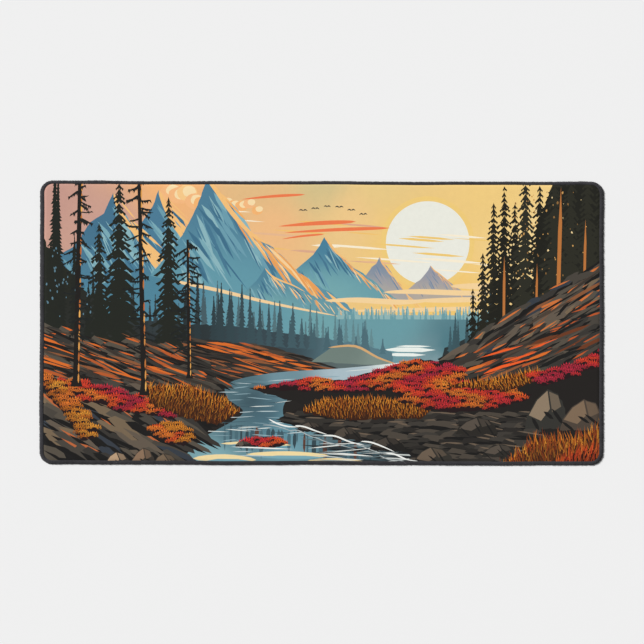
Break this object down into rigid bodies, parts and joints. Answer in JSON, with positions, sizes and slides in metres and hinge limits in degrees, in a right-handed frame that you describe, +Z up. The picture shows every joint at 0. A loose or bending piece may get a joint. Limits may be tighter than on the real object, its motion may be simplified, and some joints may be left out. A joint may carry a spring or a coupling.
{
  "type": "desk mat",
  "caption": "Large rectangular desk mat: printed cloth face bonded to a non-slip rubber foam base, with rounded corners and an overlocked thread edge.",
  "frame": {"origin": "centre of the underside, on the desk", "axes": "+X along the mat's length to the right of someone sitting at it, +Y away from them towards the back of the desk, +Z up out of the printed face"},
  "size_m": [0.797, 0.401, 0.0033],
  "materials": {
    "printed_cloth": "smooth fine-knit polyester with a dye-sublimated landscape print, matte",
    "bonding_film": "thin translucent hot-melt film",
    "rubber_base": "black natural rubber foam with a fine embossed non-slip texture underneath",
    "edge_thread": "charcoal textured polyester overlock thread, matte"
  },
  "bodies": {
    "root": {"printed_cloth": "printed_cloth", "bonding_film": "bonding_film", "rubber_base": "rubber_base", "needle_thread": "edge_thread", "upper_looper_thread": "edge_thread", "lower_looper_thread": "edge_thread"}
  },
  "joints": []
}
